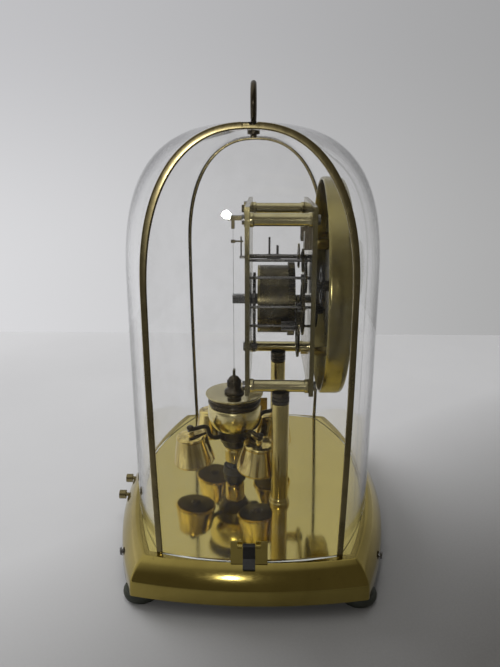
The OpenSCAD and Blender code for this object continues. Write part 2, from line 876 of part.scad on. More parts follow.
// Repeats children for each of the four weights, in the plane of one arm
module each_weight() {
    for (k = [0 : 3]) translate([0, pend_y, 0]) rotate([0, 0, weight_turn + 90 * k]) children();
}

arm_r = 1.1;
arm_low_z = 46;
arm_out = 15.8;
arm_bend = 5;
arm_top_bend = 3.2;
bell_head_z = bell_h / 2;
arm_top_z = arm_low_z + arm_bend + arm_top_bend;

// A swan-neck rod in each arm's plane: out from the neck, up, and out again over the weight
module weight_arms() {
    color(dark_steel) each_weight() {
        translate([0, 9.2, arm_low_z]) rotate([-90, 0, 0])
            cylinder(h = arm_out - arm_bend - 9.2, r = arm_r);
        translate([0, arm_out - arm_bend, arm_low_z + arm_bend]) rotate([0, 90, 0])
            rotate_extrude(angle = 90) translate([arm_bend, 0]) circle(r = arm_r);
        translate([0, arm_out + arm_top_bend, arm_low_z + arm_bend]) rotate([0, 90, 0])
            rotate([0, 0, 180]) rotate_extrude(angle = 90) translate([arm_top_bend, 0]) circle(r = arm_r);
        translate([0, arm_out + arm_top_bend, arm_top_z]) rotate([-90, 0, 0])
            cylinder(h = 9.2, r = arm_r);
    }
}

module bell_weights() {
    color(brass) each_weight() translate([0, weight_at, bell_mid_z]) rotate([-weight_lean, 0, 0])
        rotate_extrude() polygon([
            [0, bell_head_z + 2.05], [1.6, bell_head_z + 2.05], [1.6, bell_head_z + 0.5],
            [bell_top_r - 2, bell_head_z + 0.4], [bell_top_r - 0.4, bell_head_z],
            [bell_top_r, bell_head_z - 0.8], [bell_top_r - 0.1, bell_head_z - 1.6],
            [bell_low_r - 0.2, 1.8 - bell_head_z], [bell_low_r, 1 - bell_head_z],
            [bell_low_r - 0.7, -bell_head_z], [bell_low_r - 2, -bell_head_z - 0.5],
            [2.6, -bell_head_z - 0.9], [2, -bell_head_z - 2.2], [0, -bell_head_z - 2.6]
        ]);
}

// ---------- glass case ----------

// Half depth of the arch at share s of the way from crown to spring line, then to the floor
function arch_point(s, w, drop, power, top, foot_in) = s <= 1
    ? [w * s, top - drop * (1 - pow(max(1 - pow(s, power), 0), 1 / power))]
    : let (f = s - 1) [w - foot_in * f * f, (top - drop) * (1 - f)];

// Shares along one half of the arch, closer together where it turns fast
arch_steps = concat(
    [for (a = [2 : 8 : 82]) pow(sin(a), 2 / arch_power)],
    [for (a = [85 : 2.5 : 87.5]) pow(sin(a), 2 / arch_power)],
    [1, 1.25, 1.5, 1.75, 2]
);

function arch_side(u, inset) = let (bow = 1 - u * u) [
    for (s = arch_steps)
        arch_point(s, arch_half_y + front_bow * bow - inset, arch_drop + 11.5 * bow,
            arch_power + 0.55 * bow, case_h + crown_rise * bow - inset, arch_foot_in * (1 - 0.8 * bow))
];

function flip(list) = [for (i = [len(list) - 1 : -1 : 0]) list[i]];

function whole_arch(u, inset) = let (half = arch_side(u, inset)) concat(
    [for (p = flip(half)) [-p[0], p[1]]],
    half
);

wrap_half_x = case_half_x - trim_half_x;

function wrap_grid(inset) = [
    for (i = [-6 : 6]) let (u = i / 6)
        [for (p = whole_arch(u, inset)) [u * wrap_half_x, p[0] + case_y, p[1] + floor_z]]
];

module case_glass() {
    color(glass) difference() {
        grid_sheet(wrap_grid(0), wrap_grid(glass_t));
        translate([0, case_y, floor_z + case_h - 4]) cylinder(h = 12, r = 1.7);
    }
}

pane_cols = 8;

function pane_grid(side, inset) = let (edge = flip(arch_side(1, trim_w + 0.1))) [
    for (p = edge) let (lift = 1 - pow(p[1] / case_h, 2))
        [for (j = [-pane_cols : pane_cols]) let (t = j / pane_cols)
            [side * (case_half_x + 0.8 - inset + side_bow * (1 - t * t) * lift),
             p[0] * t + case_y, p[1] + floor_z]]
];

module side_panes() {
    color(glass) {
        grid_sheet(pane_grid(-1, 0), pane_grid(-1, glass_t));
        grid_sheet(pane_grid(1, glass_t), pane_grid(1, 0));
    }
}

// The two brass strips that frame the side panes, notched at the crown
module case_strips() {
    color(old_brass) for (side = [-1, 1]) translate([side * case_half_x - trim_half_x, case_y, floor_z])
        rotate([90, 0, 90]) linear_extrude(2 * trim_half_x) difference() {
            polygon(whole_arch(1, 0));
            polygon(concat(whole_arch(1, trim_w), [[40, -1], [-40, -1]]));
            translate([-3, case_h - 1.2]) square([6, 2]);
        }
}

crown_z = floor_z + case_h + crown_rise;

// The lifting ring on its threaded stem, with a washer and a nut on either side of the glass
module carrying_ring() {
    color(old_brass) {
        translate([0, case_y, crown_z]) cylinder(h = 1, r = 3.2);
        translate([0, case_y, crown_z - 6]) cylinder(h = 7.5, r = 1.6);
        translate([0, case_y, crown_z - glass_t - 2.6]) cylinder(h = 2.4, r = 3, $fn = 6);
        translate([0, case_y, ring_mid_z]) rotate([90, 0, 0])
            rotate_extrude() translate([ring_r, 0]) circle(r = ring_wire_r, $fn = 32);
    }
}

// Clips low on the side panes: a plate with two knuckles and a pin for the latch tab
clip_x = case_half_x + 0.8 + side_bow + 0.05;
clip_t = 0.8;
knuckle_x = clip_x + clip_t + 0.7;
knuckle_z = 32.2;
latch_w = 5.3;
latch_pin_r = 0.45;
latch_t = 0.9;

module both_clips() {
    for (side = [0, 180]) translate([0, case_y, 0]) rotate([0, 0, side]) children();
}

module side_clips() {
    color(brass) both_clips() {
        difference() {
            translate([clip_x, -8, floor_z + 0.2]) cube([clip_t, 16, 11]);
            translate([clip_x - 1, -latch_w / 2 - 0.3, knuckle_z - 1.5]) cube([3, latch_w + 0.6, 3.4]);
        }
        for (y = [-5, 2.95]) translate([knuckle_x, y, knuckle_z]) rotate([-90, 0, 0])
            cylinder(h = 2.05, r = 1);
        translate([knuckle_x, -5, knuckle_z]) rotate([-90, 0, 0]) cylinder(h = 10, r = latch_pin_r);
    }
}

// A latch tab hanging from its knuckle pin and turning out over the sloping rim
module latch(side) {
    color(black) translate([0, case_y, 0]) rotate([0, 0, side]) difference() {
        union() {
            translate([knuckle_x, -latch_w / 2, knuckle_z]) rotate([-90, 0, 0])
                cylinder(h = latch_w, r = 1.15);
            translate([0, latch_w / 2, 0]) rotate([90, 0, 0]) linear_extrude(latch_w) polygon([
                [knuckle_x + 0.1, knuckle_z - 0.2], [knuckle_x + 1, knuckle_z - 0.2],
                [knuckle_x + 1, 26.6], [knuckle_x + 3.4, 23.2], [knuckle_x + 3.1, 22.4],
                [knuckle_x + 2.6, 22.4], [knuckle_x + 0.1, 26.2]
            ]);
        }
        translate([knuckle_x, -5, knuckle_z]) rotate([-90, 0, 0]) cylinder(h = 10, r = latch_pin_r + run);
    }
}

module latch_left() {
    latch(180);
}

module latch_right() {
    latch(0);
}

base_shell();
floor_plate();
underplate();
feet();
base_screws();
guide_cup();
lock_guide();
lock_slide();
support_columns();
column_collars();
back_plate();
front_plate();
top_pillars();
bottom_pillars();
plate_screws();
dial_lock_blocks();
dial();
bezel();
dial_feet();
motion_studs();
suspension_bracket();
suspension_spring();
fork();
click();
click_spring();
ratchet_wheel();
winding_arbor();
barrel();
barrel_cap();
mainspring();
first_wheel();
first_pinion();
second_wheel();
second_pinion();
minute_arbor_wheels();
minute_arbor();
third_wheel();
third_pinion();
escape_wheel();
escape_pinion();
anchor();
minute_pipe();
minute_wheel();
hour_wheel();
hour_hand();
minute_hand();
hand_nut();
pendulum_hook();
rating_disc();
pendulum_bowl();
pendulum_neck();
weight_arms();
bell_weights();
case_glass();
side_panes();
case_strips();
carrying_ring();
side_clips();
latch_left();
latch_right();
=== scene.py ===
"""Visual model of the anniversary clock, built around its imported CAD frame.

Lengths in the tables below are millimetres in the row frame. Meshes are made in metres.
"""

import math

import bmesh
import bpy
from mathutils import Matrix, Vector


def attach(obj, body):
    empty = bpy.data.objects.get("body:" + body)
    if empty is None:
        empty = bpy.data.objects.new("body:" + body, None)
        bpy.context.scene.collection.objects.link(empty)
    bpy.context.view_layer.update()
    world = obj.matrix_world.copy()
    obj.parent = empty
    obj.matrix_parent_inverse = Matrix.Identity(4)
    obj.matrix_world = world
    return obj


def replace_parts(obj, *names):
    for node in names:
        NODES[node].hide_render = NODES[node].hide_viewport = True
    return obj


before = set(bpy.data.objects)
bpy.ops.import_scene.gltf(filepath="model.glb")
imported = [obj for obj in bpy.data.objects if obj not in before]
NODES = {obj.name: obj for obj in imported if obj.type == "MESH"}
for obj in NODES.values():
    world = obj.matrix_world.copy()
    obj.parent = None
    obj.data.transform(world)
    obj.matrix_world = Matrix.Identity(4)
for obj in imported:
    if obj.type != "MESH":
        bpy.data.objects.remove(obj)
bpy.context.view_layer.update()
MM = 0.001

# ---------------------------------------------------------------- measured places

CASE_Y = -2.2
FLOOR_Z = 22.7
PEND_Y = 8.0
DIAL = (0.0, 128.7)
DIAL_BACK_Y = -43.4
DIAL_FACE_Y = -44.2
BEZEL_Y = -35.5
COLUMN = (32.3, -16.1)
PILLAR_X = 32.3
PILLAR_Z = (86.2, 165.3)
PLATES_Y = (-1.2, -29.3)


# ---------------------------------------------------------------- small maths


def lerp(a, b, t):
    """The value at share t of the way from a to b."""
    return a + (b - a) * t


def soften(points, radius, steps=4, closed=False):
    """A profile with its corners rounded, so that turned edges catch the light."""
    count = len(points)
    out = []
    for i, p in enumerate(points):
        if not closed and i in (0, count - 1):
            out.append(p)
            continue
        before, after = points[i - 1], points[(i + 1) % count]
        to_a = (before[0] - p[0], before[1] - p[1])
        to_b = (after[0] - p[0], after[1] - p[1])
        len_a, len_b = math.hypot(*to_a), math.hypot(*to_b)
        if len_a < 1e-6 or len_b < 1e-6:
            continue
        turn = (to_a[0] * to_b[0] + to_a[1] * to_b[1]) / (len_a * len_b)
        if turn < -0.985:
            out.append(p)
            continue
        cut = min(radius, 0.42 * len_a, 0.42 * len_b)
        a = (p[0] + to_a[0] / len_a * cut, p[1] + to_a[1] / len_a * cut)
        b = (p[0] + to_b[0] / len_b * cut, p[1] + to_b[1] / len_b * cut)
        for k in range(steps + 1):
            t = k / steps
            out.append(tuple(
                (1 - t) ** 2 * a[j] + 2 * t * (1 - t) * p[j] + t * t * b[j] for j in (0, 1)
            ))
    return out


def smooth_curve(points, per_span=8):
    """Points on a Catmull-Rom curve through the points given."""
    pts = [Vector(p) for p in points]
    pts = [pts[0] * 2 - pts[1], *pts, pts[-1] * 2 - pts[-2]]
    out = []
    for i in range(1, len(pts) - 2):
        a, b, c, d = pts[i - 1:i + 3]
        for k in range(per_span):
            t = k / per_span
            out.append(0.5 * (2 * b + (c - a) * t + (2 * a - 5 * b + 4 * c - d) * t * t
                              + (3 * b - a - 3 * c + d) * t ** 3))
    out.append(pts[-2])
    return out


# ---------------------------------------------------------------- mesh making


def new_piece(name, verts, faces, body, slot, materials, sharp=32.0, place=None, pick=None):
    """A mesh piece in the row frame that rides on a body. verts are in millimetres."""
    mesh = bpy.data.meshes.new(name)
    mesh.from_pydata([[c * MM for c in v] for v in verts], [], faces)
    bm = bmesh.new()
    bm.from_mesh(mesh)
    bmesh.ops.remove_doubles(bm, verts=bm.verts, dist=1e-7)
    bmesh.ops.recalc_face_normals(bm, faces=bm.faces)
    bm.to_mesh(mesh)
    bm.free()
    for m in materials:
        mesh.materials.append(m)
    if pick:
        for poly in mesh.polygons:
            poly.material_index = pick(Vector(poly.center) / MM)
    mesh.polygons.foreach_set("use_smooth", [True] * len(mesh.polygons))
    mesh.set_sharp_from_angle(angle=math.radians(sharp))
    obj = bpy.data.objects.new(name, mesh)
    bpy.context.scene.collection.objects.link(obj)
    if place is not None:
        obj.matrix_world = place
    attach(obj, body)
    return obj


def turned(profile, segments=96, closed=False):
    """Vertices and faces of a profile of (radius, height) turned about Z."""
    verts, faces, rings = [], [], []
    for r, z in profile:
        if r < 1e-4:
            rings.append([len(verts)])
            verts.append((0.0, 0.0, z))
        else:
            rings.append(list(range(len(verts), len(verts) + segments)))
            verts += [(r * math.cos(2 * math.pi * k / segments),
                       r * math.sin(2 * math.pi * k / segments), z) for k in range(segments)]
    spans = list(zip(rings, rings[1:]))
    if closed:
        spans.append((rings[-1], rings[0]))
    for a, b in spans:
        for k in range(segments):
            n = (k + 1) % segments
            if len(a) == 1 and len(b) == 1:
                continue
            if len(a) == 1:
                faces.append((a[0], b[n], b[k]))
            elif len(b) == 1:
                faces.append((a[k], a[n], b[0]))
            else:
                faces.append((a[k], a[n], b[n], b[k]))
    return verts, faces


def merge(parts):
    """One vertex and face list from several."""
    verts, faces = [], []
    for v, f in parts:
        base = len(verts)
        verts += [tuple(p) for p in v]
        faces += [tuple(i + base for i in face) for face in f]
    return verts, faces


def moved(part, matrix):
    """A vertex and face list with its vertices carried by a matrix."""
    verts, faces = part
    return [tuple(matrix @ Vector(v)) for v in verts], faces


def at(x, y, z):
    """A move to a place."""
    return Matrix.Translation(Vector((x, y, z)))


def spin_z(degrees):
    """A turn about the upright axis."""
    return Matrix.Rotation(math.radians(degrees), 4, "Z")


FORWARD = Matrix.Rotation(math.radians(90), 4, "X")  # turns a Z lathe to point along -Y


def tube(path, radius, segments=16, closed=False):
    """A round rod along a path of points."""
    pts = [Vector(p) for p in path]
    count = len(pts)
    verts, faces = [], []
    side = None
    for i, p in enumerate(pts):
        if closed:
            ahead = (pts[(i + 1) % count] - pts[i - 1]).normalized()
        else:
            ahead = (pts[min(i + 1, count - 1)] - pts[max(i - 1, 0)]).normalized()
        if side is None:
            side = ahead.orthogonal().normalized()
        side = (side - ahead * side.dot(ahead)).normalized()
        up = ahead.cross(side)
        for k in range(segments):
            a = 2 * math.pi * k / segments
            verts.append(tuple(p + (side * math.cos(a) + up * math.sin(a)) * radius))
    for i in range(count if closed else count - 1):
        n = (i + 1) % count
        for k in range(segments):
            m = (k + 1) % segments
            faces.append((i * segments + k, i * segments + m, n * segments + m, n * segments + k))
    if not closed:
        faces.append(tuple(range(segments))[::-1])
        faces.append(tuple(range((count - 1) * segments, count * segments)))
    return verts, faces


def block(low, high, bevel=0.25, steps=2):
    """A box with rounded edges."""
    bm = bmesh.new()
    bmesh.ops.create_cube(bm, size=1.0)
    for v in bm.verts:
        v.co = Vector([lerp(low[j], high[j], v.co[j] + 0.5) for j in range(3)])
    bmesh.ops.bevel(bm, geom=bm.edges[:], offset=bevel, segments=steps, affect="EDGES", profile=0.5)
    verts = [tuple(v.co) for v in bm.verts]
    faces = [tuple(v.index for v in f.verts) for f in bm.faces]
    bm.free()
    return verts, faces


def sheet_between(outer, inner):
    """Closed wall between two grids of points with the same rows and columns."""
    rows, cols = len(outer), len(outer[0])
    verts = [p for grid in (outer, inner) for row in grid for p in row]
    whole = rows * cols
    faces = []
    for r in range(rows - 1):
        for c in range(cols - 1):
            a, b, d, e = r * cols + c, r * cols + c + 1, (r + 1) * cols + c + 1, (r + 1) * cols + c
            faces += [(a, b, d, e), (whole + a, whole + e, whole + d, whole + b)]
    edge = [r * cols for r in range(rows)] + [(rows - 1) * cols + c for c in range(1, cols)]
    edge += [r * cols + cols - 1 for r in range(rows - 2, -1, -1)] + list(range(cols - 2, 0, -1))
    for a, b in zip(edge, edge[1:] + edge[:1]):
        faces.append((a, b, whole + b, whole + a))
    return verts, faces


# ---------------------------------------------------------------- materials


class Net:
    """Short calls for building one material's nodes."""

    def __init__(self, name):
        self.mat = bpy.data.materials.new(name)
        self.mat.use_nodes = True
        self.tree = self.mat.node_tree
        self.shader = self.tree.nodes["Principled BSDF"]
        self.out = self.tree.nodes["Material Output"]
        self.coord = self.tree.nodes.new("ShaderNodeTexCoord")

    def node(self, kind, **values):
        n = self.tree.nodes.new(kind)
        for key, value in values.items():
            setattr(n, key, value)
        return n

    def link(self, a, b):
        self.tree.links.new(a, b)

    def noise(self, scale, detail=4.0, rough=0.55, stretch=(1, 1, 1), distort=0.0):
        mapping = self.node("ShaderNodeMapping")
        mapping.inputs["Scale"].default_value = stretch
        self.link(self.coord.outputs["Object"], mapping.inputs["Vector"])
        n = self.node("ShaderNodeTexNoise")
        n.inputs["Scale"].default_value = scale
        n.inputs["Detail"].default_value = detail
        n.inputs["Roughness"].default_value = rough
        n.inputs["Distortion"].default_value = distort
        self.link(mapping.outputs["Vector"], n.inputs["Vector"])
        return n.outputs["Fac"]

    def ramp(self, source, low, high, to_low=0.0, to_high=1.0):
        n = self.node("ShaderNodeMapRange")
        n.inputs["From Min"].default_value = low
        n.inputs["From Max"].default_value = high
        n.inputs["To Min"].default_value = to_low
        n.inputs["To Max"].default_value = to_high
        self.link(source, n.inputs["Value"])
        return n.outputs["Result"]

    def mix(self, fac, a, b):
        n = self.node("ShaderNodeMix", data_type="RGBA")
        self.link(fac, n.inputs["Factor"])
        for socket, value in ((n.inputs["A"], a), (n.inputs["B"], b)):
            if isinstance(value, tuple):
                socket.default_value = (*value, 1.0)
            else:
                self.link(value, socket)
        return n.outputs["Result"]

    def math(self, kind, a, b):
        n = self.node("ShaderNodeMath", operation=kind)
        for socket, value in zip(n.inputs, (a, b)):
            if isinstance(value, (int, float)):
                socket.default_value = value
            else:
                self.link(value, socket)
        return n.outputs["Value"]

    def bump(self, height, strength, distance):
        n = self.node("ShaderNodeBump")
        n.inputs["Strength"].default_value = strength
        n.inputs["Distance"].default_value = distance
        self.link(height, n.inputs["Height"])
        self.link(n.outputs["Normal"], self.shader.inputs["Normal"])


def metal(name, clean, dull, rough, patch=0.35, scale=70.0, grain=(1, 1, 1), grain_scale=900.0,
          bump=0.05, spots=None, metallic=1.0, tarnish_and_sheen_stretch=(1, 1, 1)):
    """Metal with soft patches of tarnish, fine grain and a few dark specks; patches stretched into
    upright streaks are painted reflection.
    """
    net = Net(name)
    # Stretched upright, this cloud lays down streaks of painted reflection in place of tarnish patches.
    cloud = net.noise(scale, 5.0, 0.6, tarnish_and_sheen_stretch, 0.6)
    fine = net.noise(grain_scale, 3.0, 0.6, stretch=grain)
    tone = net.ramp(cloud, 0.5 - patch, 0.5 + patch)
    colour = net.mix(tone, clean, dull)
    if spots:
        speck = net.ramp(net.noise(scale * 7, 4.0, 0.7), 0.66, 0.74)
        colour = net.mix(speck, colour, spots)
    net.link(colour, net.shader.inputs["Base Color"])
    low, high = rough
    both = net.math("ADD", net.math("MULTIPLY", cloud, 0.6), net.math("MULTIPLY", fine, 0.4))
    net.link(net.ramp(both, 0.35, 0.65, low, high), net.shader.inputs["Roughness"])
    net.shader.inputs["Metallic"].default_value = metallic
    net.bump(fine, bump, 0.0002)
    return net.mat


def clear_glass(name, tint, haze):
    """Clear glass that lets lamplight in, with the faintest film of dust."""
    net = Net(name)
    net.tree.nodes.remove(net.shader)
    glass = net.node("ShaderNodeBsdfGlass")
    glass.inputs["Color"].default_value = (*tint, 1.0)
    glass.inputs["Roughness"].default_value = 0.0
    glass.inputs["IOR"].default_value = 1.36
    film = net.node("ShaderNodeBsdfDiffuse")
    film.inputs["Color"].default_value = (0.8, 0.8, 0.78, 1.0)
    dusty = net.node("ShaderNodeMixShader")
    net.link(net.ramp(net.noise(45.0, 6.0, 0.7), 0.45, 0.8, 0.0, haze), dusty.inputs["Fac"])
    net.link(glass.outputs["BSDF"], dusty.inputs[1])
    net.link(film.outputs["BSDF"], dusty.inputs[2])
    clear = net.node("ShaderNodeBsdfTransparent")
    clear.inputs["Color"].default_value = (0.97, 0.97, 0.97, 1.0)
    path = net.node("ShaderNodeLightPath")
    final = net.node("ShaderNodeMixShader")
    net.link(path.outputs["Is Shadow Ray"], final.inputs["Fac"])
    net.link(dusty.outputs["Shader"], final.inputs[1])
    net.link(clear.outputs["BSDF"], final.inputs[2])
    net.link(final.outputs["Shader"], net.out.inputs["Surface"])
    return net.mat


def dull_solid(name, clean, dull, rough, scale, bump, bump_scale=1500.0):
    """Rubber, lacquer, ground glass or matte paint with a broken-up surface."""
    net = Net(name)
    cloud = net.noise(scale, 5.0, 0.6)
    fine = net.noise(bump_scale, 3.0, 0.65)
    net.link(net.mix(net.ramp(cloud, 0.3, 0.7), clean, dull), net.shader.inputs["Base Color"])
    net.link(net.ramp(fine, 0.3, 0.7, rough[0], rough[1]), net.shader.inputs["Roughness"])
    net.bump(fine, bump, 0.0002)
    return net.mat


BASE_BRASS = metal("base_brass", (0.46, 0.365, 0.105), (0.30, 0.23, 0.06), (0.08, 0.17), 0.24, 26.0,
                   (1, 1, 6), 500.0, 0.010, (0.24, 0.17, 0.05))
MIRROR = metal("mirror_floor", (0.80, 0.675, 0.23), (0.70, 0.58, 0.19), (0.05, 0.10), 0.35, 22.0,
               bump=0.006)
BRIGHT = metal("bright_brass", (0.80, 0.66, 0.27), (0.56, 0.45, 0.17), (0.06, 0.14), 0.30, 55.0,
               (1, 1, 14), 500.0, 0.02, (0.24, 0.18, 0.06))
COLUMN_BRASS = metal("column_brass", (0.66, 0.54, 0.20), (0.46, 0.365, 0.125), (0.10, 0.19), 0.30, 55.0,
                     (1, 1, 0.2), 500.0, 0.02, (0.16, 0.12, 0.04))
BOWL_BRASS = metal("bowl_brass", (0.95, 0.84, 0.44), (0.72, 0.62, 0.30), (0.18, 0.28), 0.30, 90.0,
                   (1, 1, 14), 500.0, 0.02, (0.24, 0.18, 0.06))
PILLAR = metal("pillar_brass", (0.70, 0.63, 0.37), (0.48, 0.42, 0.23), (0.09, 0.19), 0.30, 80.0,
               (1, 0.1, 1), 700.0, 0.02, (0.16, 0.12, 0.05))
# The bells' tone patches are stretched into upright light and dark streaks: painted reflection of the
# surroundings.
BELL_BRASS = metal("bell_brass", (1.0, 0.81, 0.30), (0.42, 0.31, 0.095), (0.09, 0.17), 0.11, 170.0,
                   (1, 1, 0.1), 700.0, 0.02, tarnish_and_sheen_stretch=(1, 1, 0.05))
BEZEL = metal("bezel_brass", (0.42, 0.36, 0.15), (0.23, 0.19, 0.08), (0.14, 0.26), 0.28, 45.0,
              (1, 1, 1), 500.0, 0.03, (0.10, 0.08, 0.03))
PLATE = metal("plate_brass", (0.34, 0.295, 0.145), (0.23, 0.195, 0.095), (0.10, 0.22), 0.30, 60.0,
              (1, 1, 0.08), 900.0, 0.04, (0.10, 0.08, 0.04))
TRAIN = metal("train_brass", (0.14, 0.118, 0.062), (0.05, 0.042, 0.027), (0.20, 0.42), 0.25, 150.0,
              (1, 1, 1), 1400.0, 0.06, (0.05, 0.04, 0.025))
STRIP = metal("strip_brass", (0.34, 0.28, 0.14), (0.14, 0.115, 0.055), (0.16, 0.32), 0.25, 60.0,
              (1, 1, 0.3), 600.0, 0.03, (0.05, 0.035, 0.02))
DARK = metal("dark_bronze", (0.12, 0.10, 0.065), (0.045, 0.038, 0.030), (0.24, 0.42), 0.28, 110.0,
             (1, 1, 1), 1000.0, 0.06, (0.22, 0.17, 0.08))
STEEL = metal("steel", (0.26, 0.255, 0.25), (0.13, 0.125, 0.12), (0.20, 0.38), 0.30, 150.0,
              (1, 0.1, 1), 1200.0, 0.05, (0.10, 0.07, 0.05))
DIAL_BACK = metal("dial_back", (0.34, 0.32, 0.25), (0.24, 0.22, 0.16), (0.22, 0.36), 0.35, 40.0,
                  (1, 1, 0.1), 900.0, 0.04)
DIAL_FACE = metal("dial_face", (0.80, 0.79, 0.75), (0.70, 0.68, 0.62), (0.42, 0.55), 0.35, 40.0,
                  (0.05, 1, 1), 900.0, 0.05, metallic=0.35)
INK = dull_solid("dial_ink", (0.012, 0.012, 0.013), (0.03, 0.028, 0.025), (0.35, 0.5), 200.0, 0.05)
RUBBER = dull_solid("rubber", (0.016, 0.019, 0.013), (0.034, 0.038, 0.027), (0.5, 0.75), 60.0, 0.15)
LACQUER = dull_solid("black_lacquer", (0.006, 0.006, 0.005), (0.018, 0.016, 0.014), (0.42, 0.62), 120.0,
                     0.08)
GROUND = dull_solid("ground_glass_edge", (0.86, 0.88, 0.86), (0.72, 0.75, 0.72), (0.35, 0.6), 200.0,
                    0.15)
GLASS = clear_glass("case_glass", (1.0, 1.0, 1.0), 0.05)

WEAR = {
    "base_shell": BASE_BRASS, "floor_plate": MIRROR, "underplate": LACQUER, "feet": RUBBER,
    "base_screws": STEEL, "guide_cup": DARK, "lock_guide": STEEL, "lock_slide": STRIP,
    "support_columns": COLUMN_BRASS, "column_collars": DARK, "back_plate": PLATE, "front_plate": PLATE,
    "top_pillars": PILLAR, "bottom_pillars": PILLAR, "plate_screws": STEEL,
    "dial_lock_blocks": DARK, "dial": DIAL_BACK, "bezel": BEZEL, "dial_feet": BRIGHT,
    "motion_studs": STEEL, "suspension_bracket": TRAIN, "suspension_spring": STEEL, "fork": TRAIN,
    "click": STEEL, "click_spring": STEEL, "ratchet_wheel": STEEL, "winding_arbor": STEEL,
    "barrel": TRAIN, "barrel_cap": PLATE, "mainspring": STEEL, "first_wheel": TRAIN,
    "first_pinion": STEEL, "second_wheel": TRAIN, "second_pinion": STEEL,
    "minute_arbor_wheels": TRAIN, "minute_arbor": STEEL, "third_wheel": TRAIN,
    "third_pinion": STEEL, "escape_wheel": PLATE, "escape_pinion": STEEL, "anchor": STEEL,
    "minute_pipe": TRAIN, "minute_wheel": TRAIN, "hour_wheel": TRAIN, "hour_hand": BRIGHT,
    "minute_hand": BRIGHT, "hand_nut": BRIGHT, "pendulum_hook": DARK, "rating_disc": PILLAR,
    "pendulum_bowl": BOWL_BRASS, "pendulum_neck": DARK, "weight_arms": DARK, "bell_weights": BELL_BRASS,
    "case_glass": GLASS, "side_panes": GLASS, "case_strips": STRIP, "carrying_ring": DARK,
    "side_clips": BASE_BRASS, "latch_left": LACQUER, "latch_right": LACQUER,
}
for node_name, material in WEAR.items():
    data = NODES[node_name].data
    data.materials.clear()
    data.materials.append(material)
    data.polygons.foreach_set("use_smooth", [True] * len(data.polygons))
    data.set_sharp_from_angle(angle=math.radians(28))

# ---------------------------------------------------------------- base

HALF_X, HALF_Y = 89.5, 69.3
CORNER = (84.0, 52.5)
SIDE_SAG, FRONT_SAG = HALF_X - CORNER[0], HALF_Y - CORNER[1]
SIDE_R = (CORNER[1] ** 2 + SIDE_SAG ** 2) / (2 * SIDE_SAG)
FRONT_R = (CORNER[0] ** 2 + FRONT_SAG ** 2) / (2 * FRONT_SAG)


def base_corner(inset):
    """Where the front and side bows meet, drawn in by inset."""
    cx, cy = HALF_X - SIDE_R, HALF_Y - FRONT_R
    r_side, r_front = SIDE_R - inset, FRONT_R - inset
    x, y = CORNER[0] - inset, CORNER[1] - inset
    for _ in range(30):
        x = cx + math.sqrt(r_side ** 2 - y * y)
        y = cy + math.sqrt(r_front ** 2 - x * x)
    return x, y


def base_outline(inset, per_side=40, crease=1.1):
    """The bowed four-sided outline, counter-clockwise, with slightly eased corners."""
    x, y = base_corner(inset)
    r_side, r_front = SIDE_R - inset, FRONT_R - inset
    a_side = math.asin(y / r_side)
    a_front = math.asin(x / r_front)
    ease_side, ease_front = crease / r_side, crease / r_front
    right, back = [], []
    for k in range(per_side + 1):
        a = lerp(-a_side + ease_side, a_side - ease_side, k / per_side)
        right.append((HALF_X - SIDE_R + r_side * math.cos(a), r_side * math.sin(a)))
        b = lerp(a_front - ease_front, -a_front + ease_front, k / per_side)
        back.append((r_front * math.sin(b), HALF_Y - FRONT_R + r_front * math.cos(b)))
    corner = []
    start, end = right[-1], back[0]
    for k in range(1, 6):
        t = k / 6
        corner.append(tuple((1 - t) ** 2 * start[j] + 2 * t * (1 - t) * (x, y)[j] + t * t * end[j]
                            for j in (0, 1)))
    quarter = right + corner + back
    far = [(-px, py) for px, py in corner[::-1]]
    left = [(-px, py) for px, py in right[::-1]]
    low_left = [(-px, -py) for px, py in corner]
    front = [(-px, -py) for px, py in back]
    low_right = [(px, -py) for px, py in corner[::-1]]
    return quarter + far + left + low_left + front + low_right


RIM = soften([(0.0, 6.3), (0.25, 11.2), (0.45, 13.0), (1.25, 15.0), (3.0, 18.1), (5.2, 20.8),
              (7.4, 22.7)], 0.9, 5)


def base_mesh():
    """Pressed shell: outer skin from skirt to glass line, a rolled lip, and the inner skin."""
    outer = [(d, z) for d, z in RIM]
    inner = [(min(d + 1.0, 8.4), z - 0.7) for d, z in RIM[::-1]]
    inner[-1] = (1.0, 6.3)
    loop = outer + [(8.6, 22.7), (10.6, 22.69), (10.6, 21.7)] + inner
    loop = soften(loop, 0.35, 3, closed=True)
    rows = [[(x, y + CASE_Y, z) for x, y in base_outline(d)] for d, z in loop]
    cols = len(rows[0])
    verts = [p for row in rows for p in row]
    faces = []
    for r in range(len(rows)):
        n = (r + 1) % len(rows)
        for c in range(cols):
            m = (c + 1) % cols
            faces.append((r * cols + c, r * cols + m, n * cols + m, n * cols + c))
    return verts, faces


shell = new_piece("base_shell_pressed", *base_mesh(), "stand", "base_brass", [BASE_BRASS], 30)
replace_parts(shell, "base_shell")

FOOT = soften([(0.0, 0.9), (3.4, 0.9), (3.4, 0.0), (6.9, 0.0), (7.9, 0.7), (8.5, 2.2), (8.45, 3.6),
               (7.8, 4.7), (7.2, 4.95), (7.4, 5.8), (6.1, 6.2), (6.0, 7.3), (0.0, 7.3)], 0.5, 4)
FOOT_AT = (74.5, 49.0)
foot_places = [(sx * FOOT_AT[0], sy * FOOT_AT[1] + CASE_Y) for sx in (-1, 1) for sy in (-1, 1)]
foot = new_piece("feet_moulded", *merge([moved(turned(FOOT, 72), at(x, y, 0)) for x, y in foot_places]),
                 "stand", "rubber", [RUBBER])
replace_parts(foot, "feet")

# ---------------------------------------------------------------- columns and pillars

